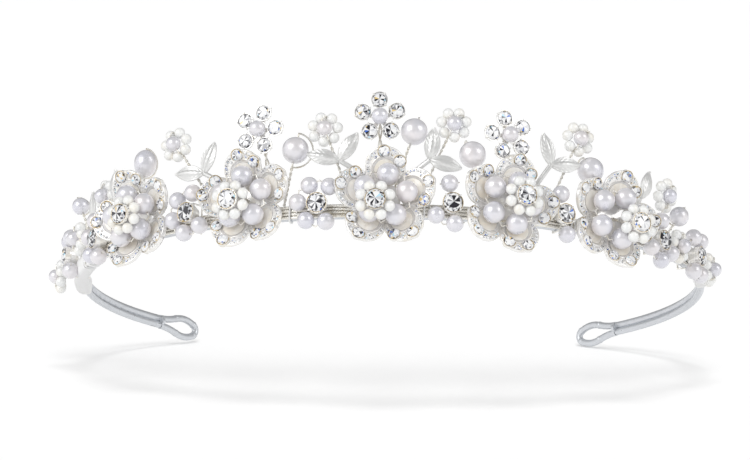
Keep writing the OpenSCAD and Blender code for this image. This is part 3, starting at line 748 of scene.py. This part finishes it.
# The gilt edge of a stone's seat, whose brown-gold is also a painted warm reflection beside the
# stone: a stretched ring round the girdle, or its outer part alone
EDGE_OFF, EDGE_R, EDGE_STRETCH, EDGE_DROP = 0.1, 0.11, 1.5, 0.14
EDGE_CUT, EDGE_CUT_FACING = 0.2, (1, 0.3, 0)


def seat_edge(d, outer_only=False):
    start()
    bpy.ops.mesh.primitive_torus_add(
        major_radius=(d / 2 + EDGE_OFF) * MM,
        minor_radius=EDGE_R * MM,
        major_segments=24,
        minor_segments=6,
        location=ORIGIN,
    )
    edge = bpy.context.object
    edit_all()
    scale(1, 1, EDGE_STRETCH)
    lift(-EDGE_DROP * MM)
    if outer_only:
        bpy.ops.mesh.bisect(
            plane_co=(-EDGE_CUT * d * MM, 0, 0),
            plane_no=EDGE_CUT_FACING,
            clear_inner=True,
            use_fill=True,
        )
    return done(edge)


places = [stone for flower in FLOWERS for stone in rim_stone_places(flower)]
wear_copies(seat_edge(RIM_STONE_D, True), GILT_AND_PAINTED_REFLECTION, "cast_silver", [("rim_seat_edges", places)])
places = centre_places + cluster_places
wear_copies(seat_edge(CENTRE_STONE_D), GILT_AND_PAINTED_REFLECTION, "cast_silver", [("large_seat_edges", places)])


# Small trim on the petals and the stones: pave grains, rolled rims, bowl lips, claw tips
DOME_BASE, DOME_FLAT = 0.1, 0.8


def dome(r, around):
    start()
    bpy.ops.mesh.primitive_uv_sphere_add(
        segments=around, ring_count=6, radius=r * MM, location=ORIGIN
    )
    bead = bpy.context.object
    edit_all()
    bpy.ops.mesh.bisect(
        plane_co=(0, 0, -DOME_BASE * r * MM), plane_no=(0, 0, 1), clear_inner=True, use_fill=True
    )
    bpy.ops.mesh.select_all(action="SELECT")
    scale(1, 1, DOME_FLAT)
    return done(bead, smooth=False)


# The grains fill two rows on a petal's rim, where no bowl, stone or hub is in their way
GRAIN_R, GRAIN_ROWS = 0.42, (3.86, 3.08)
BOWL_LIP, BOWL_ROOM, STONE_ROOM = 0.2, 0.75, 0.8
HUB_END = -2.6


def grain_spots():
    stones = [turn(angle, "Z") @ Vector((RIM_RING, 0, 0)) for angle in RIM_STONES]
    spots = []
    for row, r in enumerate(GRAIN_ROWS):
        count = int(math.pi * r / GRAIN_R)
        for k in range(count):
            a = math.radians((k + 0.5 * row) * (360 / count) - 180)
            x, y = r * math.cos(a), r * math.sin(a)
            from_bowl = math.hypot(x + BOWL_SHIFT, y) - BOWL_R - BOWL_LIP
            from_stone = min((Vector((x, y, 0)) - stone).length for stone in stones) - COLLAR_R
            free = from_bowl > BOWL_ROOM * GRAIN_R and from_stone > STONE_ROOM * GRAIN_R
            if free and x > HUB_END:
                spots.append((x, y))
    return spots


# The pave grains carry the same painted facet reflections as the stones
grain = dome(GRAIN_R, 6)
paint(grain, CRYSTAL_PAINTED_REFLECTIONS)
grains = [
    (
        f"flower_{i}_pave",
        [petal @ move(x, y, 0) for petal in on_petals(flower) for x, y in grain_spots()],
        PAVE_SEED + i,
        EVEN,
    )
    for i, flower in enumerate(FLOWERS, 1)
]
wear_painted_reflections(grain, grains)


# Rolled wire, open towards the hub
def rolled_rim(r, thick, middle, height):
    start()
    bpy.ops.mesh.primitive_torus_add(
        major_radius=r * MM,
        minor_radius=thick / 2 * MM,
        major_segments=48,
        minor_segments=8,
        location=(middle * MM, 0, height * MM),
    )
    rim = bpy.context.object
    keep_place()
    edit_all()
    bpy.ops.mesh.bisect(
        plane_co=(HUB_END * MM, 0, 0), plane_no=(1, 0, 0), clear_inner=True, use_fill=True
    )
    return done(rim)


# Rim: name, radius, thickness of its wire, shift of its middle, height
RIMS = [
    ("petal_rims", PETAL_R - 0.2, 0.44, 0, -0.14),
    ("bowl_lips", BOWL_R + 0.1, 0.3, -BOWL_SHIFT, 0.06),
]
for name, *sizes in RIMS:
    rows = [(f"flower_{i}_{name}", on_petals(flower)) for i, flower in enumerate(FLOWERS, 1)]
    wear_copies(rolled_rim(*sizes), CAST, "cast_silver", rows)

CLAWS, CLAW_STEP, CLAW_LEAN = 4, 90, 35
CLAW_IN, CLAW_RISE, CLAW_GROWTH = 0.12, 0.8, 1.25


def claw_places(stone_places, stone_d):
    r = stone_d / 2 + SEAT_GAP + SETTING_WALL - CLAW_IN
    return [
        stone
        @ turn(CLAW_STEP / 2 + CLAW_STEP * k, "Z")
        @ move(r, 0, CLAW_R * CLAW_RISE)
        @ turn(-CLAW_LEAN, "Y")
        for stone in stone_places
        for k in range(CLAWS)
    ]


places = (
    claw_places(centre_places, CENTRE_STONE_D)
    + claw_places(cluster_places, CLUSTER_STONE_D)
    + claw_places(daisy_places, DAISY_STONE_D)
)
wear_copies(dome(CLAW_R * CLAW_GROWTH, 10), CAST, "cast_silver", [("claw_tips", places)])


# Leaves: a grid narrowed row by row to the leaf's outline, domed, ribbed and given its thickness
LEAF_LEN, LEAF_W, LEAF_WALL, LEAF_DOME, LEAF_STEM_D = 7.4, 3.7, 0.4, 9, 1.1
LEAF_ROWS, LEAF_COLUMNS = 14, 12
LEAF_FOOT, LEAF_SWELL, LEAF_FULL, LEAF_DROOP = 0.1, 0.9, 0.8, 5
# Height of the ridges, from the midrib to the edge
LEAF_RIDGES = [0.24, 0.2, 0.0, 0.02, 0.02, 0.03, 0.2]
SPRAY_OUT = 1.4
# A spray's stalk bends at its knee, and at its fork each leaf starts in its own direction
Spray = namedtuple("Spray", "angle knee fork leaves")
SPRAYS = [
    Spray(-30.5, 6.5, (-4.6, 9.3), (66, 176)),
    Spray(-4.8, 6.3, (-5.6, 9.5), (57, 168)),
    Spray(2.9, 6.6, (4.2, 9.8), (82, -15)),
    Spray(25.3, 6.2, (3, 11), (106, 6)),
]
END_LEAVES = [
    Spray(-56.5, 5, (-0.6, 8), (88,)),
    Spray(47, 5, (1, 7.6), (66,)),
    Spray(-65.3, 3, (0, 5.4), (97,)),
]


def leaf_half_width(t):
    foot = LEAF_FOOT * (1 - t)
    return LEAF_W / 2 * (foot + math.sin(math.pi * t**LEAF_SWELL) ** LEAF_FULL * (1 - foot))


def leaf_height(y):
    ends = math.sqrt(LEAF_DOME**2 - LEAF_LEN**2 / 4)
    return math.sqrt(LEAF_DOME**2 - (y - LEAF_LEN / 2) ** 2) - ends


def near(place, wanted):
    return abs(place - wanted) < SAME_ROW


def model_leaf():
    start()
    bpy.ops.mesh.primitive_grid_add(
        x_subdivisions=LEAF_COLUMNS, y_subdivisions=LEAF_ROWS, size=1, location=ORIGIN
    )
    leaf = bpy.context.object
    edit_all()
    scale(LEAF_W * MM, LEAF_LEN * MM, 1)
    bpy.ops.transform.translate(value=(0, LEAF_LEN / 2 * MM, 0))
    for row in range(LEAF_ROWS + 1):
        y = LEAF_LEN * row / LEAF_ROWS
        half = leaf_half_width(row / LEAF_ROWS)
        pick_points(leaf, lambda p: near(p.y, y * MM))
        scale(2 * half / LEAF_W, 1, 1, (0, y * MM, 0))
        lift(leaf_height(y) * MM)
        for column in range(1, LEAF_COLUMNS // 2 + 1):
            q = 2 * column / LEAF_COLUMNS
            pick_points(leaf, lambda p: near(p.y, y * MM) and near(abs(p.x), q * half * MM))
            lift((LEAF_RIDGES[column] - q * q * half / LEAF_DROOP) * MM)
    pick_points(leaf, lambda p: near(p.x, 0))
    lift(LEAF_RIDGES[0] * MM)
    bpy.ops.object.mode_set(mode="OBJECT")
    wall = leaf.modifiers.new("wall", "SOLIDIFY")
    wall.thickness = LEAF_WALL * MM
    wall.offset = 0
    bpy.ops.object.modifier_apply(modifier="wall")
    soft = leaf.modifiers.new("soft", "SUBSURF")
    soft.levels = soft.render_levels = 2
    bpy.ops.object.modifier_apply(modifier="soft")
    return done(leaf)


def wire_along(points, d, name, around=3):
    start()
    path = bpy.data.curves.new(name, "CURVE")
    path.dimensions = "3D"
    path.bevel_depth = d / 2 * MM
    path.bevel_resolution = around
    path.use_fill_caps = True
    line = path.splines.new("POLY")
    line.points.add(len(points) - 1)
    for point, place in zip(line.points, points):
        point.co = (place[0] * MM, place[1] * MM, place[2] * MM, 1)
    wire = bpy.data.objects.new(name, path)
    bpy.context.collection.objects.link(wire)
    wire.select_set(True)
    bpy.context.view_layer.objects.active = wire
    bpy.ops.object.convert(target="MESH")
    bpy.ops.object.shade_smooth()
    return bpy.context.view_layer.objects.active


def rounded_corner(points, reach, steps=6):
    route = [points[0]]
    for before, corner, after in zip(points, points[1:], points[2:]):
        c = Vector(corner)
        a = c + (Vector(before) - c).normalized() * reach
        b = c + (Vector(after) - c).normalized() * reach
        for k in range(steps + 1):
            t = k / steps
            route.append(tuple(a * (1 - t) ** 2 + c * 2 * t * (1 - t) + b * t * t))
    return route + [points[-1]]


KNEE_REACH, HOOK_REACH = 1.6, 0.3


def leaf_sprig(spray, name):
    foot = on_band(spray.angle, FOOT_H, SEAT_R - SEAT_GAP - LEAF_STEM_D / 2)
    fork = (*spray.fork, SPRAY_OUT)
    bend = rounded_corner([(0, 0, 0), (0, spray.knee, 0), fork], KNEE_REACH)
    stalk = wire_along(bend, LEAF_STEM_D, name)
    paint(stalk, LEAF)
    places = [foot @ move(*fork) @ turn(a - 90, "Z") for a in spray.leaves]
    blades = set_out(leaf, name + "_blades", places)
    return join([place_mesh(stalk, foot), blades], name)


leaf = model_leaf()
paint(leaf, LEAF)
for i, spray in enumerate(SPRAYS, 1):
    wear(leaf_sprig(spray, f"leaf_sprig_{i}"), "leaf_silver", f"leaf_spray_{i}")
singles = [leaf_sprig(spray, f"end_leaf_{i}") for i, spray in enumerate(END_LEAVES, 1)]
wear(join(singles, "end_leaf_sprigs"), "leaf_silver", "end_leaves")
put_away(leaf)


# Stems: two strands twisted together, drawn out by a screw
STRAND_SHARE, TWIST_PITCH, TWIST_STEPS, LEAST_STEPS = 0.54, 2.4, 12, 6
LOOSE_D, LOOSE_STRAND_D, LOOSE_PITCH = 1.5 * STEM_D, 0.42, 6.5


def twisted_wire(from_y, to_y, d, strand, pitch):
    start()
    side = (d - strand) / 2 * MM
    length = to_y - from_y
    bpy.ops.mesh.primitive_circle_add(vertices=8, radius=strand / 2 * MM, location=(side, 0, 0))
    wire = bpy.context.object
    keep_place()
    edit("VERT")
    bpy.ops.mesh.primitive_circle_add(vertices=8, radius=strand / 2 * MM, location=(-side, 0, 0))
    bpy.ops.object.mode_set(mode="OBJECT")
    twist = wire.modifiers.new("twist", "SCREW")
    twist.axis = "Z"
    twist.screw_offset = length * MM
    twist.angle = 2 * math.pi * length / pitch
    twist.steps = twist.render_steps = max(LEAST_STEPS, int(TWIST_STEPS * length / pitch))
    bpy.ops.object.modifier_apply(modifier="twist")
    edit_all()
    bpy.ops.mesh.fill_holes(sides=0)
    bpy.ops.mesh.select_all(action="SELECT")
    bpy.ops.mesh.normals_make_consistent(inside=False)
    return place_mesh(done(wire), move(0, from_y, 0) @ turn(-90, "X"))


# A leaning stem starts this much higher, clear of the wire under it
def stem_foot(stem):
    lean = max(abs(stem.lean_along), abs(stem.lean_out))
    return STEM_D / 2 * math.tan(math.radians(lean))


def stem_up_to(stem, top):
    wire = twisted_wire(stem_foot(stem), top, STEM_D, STEM_D * STRAND_SHARE, TWIST_PITCH)
    return place_mesh(wire, on_stem(stem))


def wear_stems(stems, name, node):
    piece = join(stems, name)
    paint(piece, FINE)
    wear(piece, "fine_wire", node)


stems = []
for daisy in STONE_DAISIES:
    wire = twisted_wire(stem_foot(daisy), daisy.length, LOOSE_D, LOOSE_STRAND_D, LOOSE_PITCH)
    stems.append(place_mesh(wire, on_stem(daisy)))
wear_stems(stems, "stone_daisy_twists", "stone_daisy_stems")

daisy_reach = DAISY_BEAD_RING + LACE_D / 2 + SEAT_GAP
stems = [stem_up_to(daisy, daisy.length - daisy_reach) for daisy in BEAD_DAISIES]
for daisy in LAID_DAISIES:
    top, back = daisy.height + daisy_reach + STEM_D / 2, TAIL_R - SEAT_R
    corners = [(0, FOOT_H, back), (0, top, back), (0, top, LAID_Z + daisy.off)]
    hook = wire_along(rounded_corner(corners, HOOK_REACH), STEM_D, "hook")
    stems.append(place_mesh(hook, on_band(daisy.angle)))
wear_stems(stems, "bead_daisy_twists", "bead_daisy_stems")

# One strand goes straight through the pearl and comes back round its side in a half circle
stems = []
for stem, d, side, off in zip(STEM_PEARLS, STEM_PEARL_D, STRAND_SIDE, STRAND_OFF):
    loop = d / 2 + off + STRAND_D / 2
    stems.append(stem_up_to(stem, stem.length - loop + STRAND_D / 2))
    through = [(0, loop * k / 8, 0) for k in range(-8, 8)]
    angles = [math.radians(a) for a in range(90, 271, 6)]
    half_circle = [Vector((loop * math.cos(a), loop * math.sin(a), 0)) for a in angles]
    round_it = [tuple(turn(side, "Y") @ point) for point in half_circle]
    strand = wire_along(through + round_it, STRAND_D, "strand")
    stems.append(place_mesh(strand, on_stem(stem, stem.length)))
wear_stems(stems, "pearl_twists", "pearl_stems")


# Bindings: fine wire wound close round the band and the wire tails
# Binding: angle of its middle, turns, length along the band
BINDINGS = [
    (-83.6, 64, 28.3),
    (-70.3, 6, 2.7),
    (-53.5, 6, 2.7),
    (-17.7, 1, 0.9),
    (5.3, 1, 0.9),
    (32.45, 2, 1.8),
    (41.6, 6, 2.7),
    (80.5, 14, 6),
]
BIND_D, BIND_STEPS = 0.4, 28
TAIL_ENDS, TAPER = (-93, 81), 1.2
# A loop stands off by its slack, and the last turns of a longer binding are drawn in
SLACK, DRAWN_IN, DRAWN_TURNS, LONG_TURNS = 1.06, 0.16, 1.6, 3
SOLDER_DEPTH = 0.1
HALF_H = max(2 * WIRE_D - SOLDER_DEPTH, TAILS_H) / 2
BIND_LIFT = SEAT_GAP + BIND_D / 2
BIND_IN = BAND_R - WIRE_D / 2 - BIND_LIFT
BIND_OUT = SEAT_R - SEAT_GAP + BIND_LIFT


# Makes the sine or cosine of a circle into that of a loop with flatter sides
def square_off(c):
    return math.copysign(math.sqrt(abs(c)), c)


# Past the ends of the tails a binding narrows to the band alone
def past_tails(angle):
    return min(1, max(0, (TAIL_ENDS[0] - angle) / TAPER, (angle - TAIL_ENDS[1]) / TAPER))


def winding(middle, turns, spread):
    points = []
    last = turns * BIND_STEPS
    for k in range(last + 1):
        a = math.pi + 2 * math.pi * k / BIND_STEPS
        along = math.radians(middle) + (k / BIND_STEPS / turns - 0.5) * spread / BAND_R
        bare = past_tails(math.degrees(along))
        front = BIND_OUT * (1 - bare) + (BAND_OUT + BIND_LIFT) * bare
        ease = SLACK
        if turns >= LONG_TURNS:
            from_end = min(k, last - k) / BIND_STEPS
            ease -= DRAWN_IN * min(1, max(0, DRAWN_TURNS - from_end))
        r = (BIND_IN + front) / 2 + (front - BIND_IN) / 2 * ease * square_off(math.cos(a))
        z = (HALF_H + BIND_LIFT) * ease * square_off(math.sin(a))
        points.append((r * math.sin(along), -r * math.cos(along), z))
    return points


wound = [wire_along(winding(*binding), BIND_D, "binding", 2) for binding in BINDINGS]
bindings = place_mesh(join(wound, "wound_bindings"), turn(-WEAR_TILT, "X"))
paint(bindings, PALE)
wear(bindings, "fine_wire", "binding_wires")


# Studio: a white floor, a world with panels of light, soft distant lamps and the camera
FLOOR_SIZE, FLOOR_DROP, FLOOR_GLOW = 8, 0.0002, 0.225
AMBIENT, PANEL_DIM, PANEL_BRIGHT, HORIZON = 0.58, 0.38, 1.2, 1.0
PANEL_EDGE, PANEL_LEAN, PANEL_BACK, HORIZON_H = (0.5, 0.8), -0.12, -0.8, 0.12


def in_sight(tree):
    rays = tree.nodes.new("ShaderNodeLightPath").outputs
    seen = arithmetic(tree, "MAXIMUM", rays["Is Camera Ray"], rays["Is Glossy Ray"])
    return arithmetic(tree, "MAXIMUM", seen, rays["Is Transmission Ray"])


# The floor glows a little where it is seen or mirrored, and casts no other light by that
def studio_floor():
    start()
    level = cad_box[0].z - FLOOR_DROP
    bpy.ops.mesh.primitive_plane_add(size=FLOOR_SIZE, location=(0, 0, level))
    floor = bpy.context.object
    floor.name = "floor"
    white, tree, shader = new_finish("floor_white", (0.86, 0.86, 0.86), 0.9)
    shader.inputs["Emission Color"].default_value = (1, 1, 1, 1)
    glow = arithmetic(tree, "MULTIPLY", in_sight(tree), FLOOR_GLOW)
    tree.links.new(glow, shader.inputs["Emission Strength"])
    paint(floor, white)
    return floor


# The world lights evenly. Where it is seen or mirrored it has a tall bright panel at each side, a
# dim front and back, and a bright horizon
def studio_world():
    world = bpy.data.worlds.new("studio")
    bpy.context.scene.world = world
    world.use_nodes = True
    tree = world.node_tree
    light = tree.nodes["Background"]
    light.inputs["Color"].default_value = (1, 1, 1, 1)
    light.inputs["Strength"].default_value = AMBIENT
    where = tree.nodes.new("ShaderNodeTexCoord")
    spot = tree.nodes.new("ShaderNodeSeparateXYZ")
    tree.links.new(where.outputs["Generated"], spot.inputs[0])
    side = arithmetic(tree, "ABSOLUTE", spot.outputs["X"])
    lean = arithmetic(tree, "MULTIPLY", spot.outputs["X"], PANEL_LEAN)
    back = arithmetic(tree, "MAXIMUM", spot.outputs["Y"], 0.0)
    behind = arithmetic(tree, "MULTIPLY", back, PANEL_BACK)
    reach = arithmetic(tree, "ADD", arithmetic(tree, "ADD", side, lean), behind)
    panel = map_range(tree, reach, PANEL_EDGE, (PANEL_DIM, PANEL_BRIGHT))
    panel.interpolation_type = "SMOOTHSTEP"
    above = map_range(tree, spot.outputs["Z"], (0.0, HORIZON_H), (0.0, 1.0))
    level = tree.nodes.new("ShaderNodeMix")
    level.data_type = "FLOAT"
    level.inputs["A"].default_value = HORIZON
    tree.links.new(above.outputs["Result"], level.inputs["Factor"])
    tree.links.new(panel.outputs["Result"], level.inputs["B"])
    seen = tree.nodes.new("ShaderNodeBackground")
    tree.links.new(level.outputs["Result"], seen.inputs["Strength"])
    mix = tree.nodes.new("ShaderNodeMixShader")
    tree.links.new(in_sight(tree), mix.inputs["Fac"])
    tree.links.new(light.outputs[0], mix.inputs[1])
    tree.links.new(seen.outputs[0], mix.inputs[2])
    tree.links.new(mix.outputs[0], tree.nodes["World Output"].inputs["Surface"])


# What a lamp lights: the floor alone, or all but the floor
def lit_set(name, floor, state):
    lit = bpy.data.collections.new(name)
    lit.objects.link(floor)
    lit.collection_objects[0].light_linking.link_state = state
    return lit


def soft_lamp(name, towards, spread, strength, lit, reflected=True):
    lamp = bpy.data.lights.new(name, "SUN")
    lamp.angle = math.radians(spread)
    lamp.energy = strength
    place = bpy.data.objects.new(name, lamp)
    place.location = Vector(towards).normalized()
    place.rotation_mode = "QUATERNION"
    place.rotation_quaternion = (-Vector(towards)).to_track_quat("-Z", "Y")
    place.visible_glossy = reflected
    place.light_linking.receiver_collection = lit
    bpy.context.collection.objects.link(place)


# The camera stands in front, a little above. The origin lies off the picture's middle, so the aim
# is moved by the pixels between them
EYE = Vector((0, -0.9939, 0.1101))
FOCAL, PICTURE_W, PICTURE_H = 4217, 750, 460
ORIGIN_X, ORIGIN_Y = 392.6, 284.2
ROLL, SENSOR_W = 0.64, 36


def studio_camera():
    ahead = -EYE.normalized()
    right = Vector((1, 0, 0))
    up = right.cross(ahead)
    sideways = right * ((PICTURE_W / 2 - ORIGIN_X) / FOCAL)
    aim = ahead + sideways + up * ((ORIGIN_Y - PICTURE_H / 2) / FOCAL)
    camera = bpy.data.objects.new("camera", bpy.data.cameras.new("camera"))
    camera.data.sensor_width = SENSOR_W
    camera.data.lens = SENSOR_W * FOCAL / PICTURE_W
    camera.location = EYE
    camera.rotation_mode = "QUATERNION"
    roll = Matrix.Rotation(math.radians(ROLL), 3, "Z").to_quaternion()
    camera.rotation_quaternion = aim.to_track_quat("-Z", "Y") @ roll
    bpy.context.collection.objects.link(camera)
    bpy.context.scene.camera = camera


white_floor = studio_floor()
studio_world()
off_floor = lit_set("off_floor", white_floor, "EXCLUDE")
on_floor = lit_set("on_floor", white_floor, "INCLUDE")
# Lamp: name, the direction it stands in, spread in degrees, strength, what it lights. The last two
# draw the ring of shadow on the floor
soft_lamp("left_lamp", (-0.62, -0.55, 0.58), 40, 0.9, off_floor)
soft_lamp("right_lamp", (0.72, -0.4, 0.56), 32, 0.45, off_floor)
soft_lamp("front_lamp", (0, -1, 0.25), 40, 0.4, off_floor, reflected=False)
soft_lamp("low_shadow_lamp", (0, -0.79, 0.62), 18, 0.92, on_floor, reflected=False)
soft_lamp("high_shadow_lamp", (0, -0.37, 0.93), 18, 0.64, on_floor, reflected=False)
studio_camera()
bpy.context.scene.view_settings.view_transform = "Standard"

start()
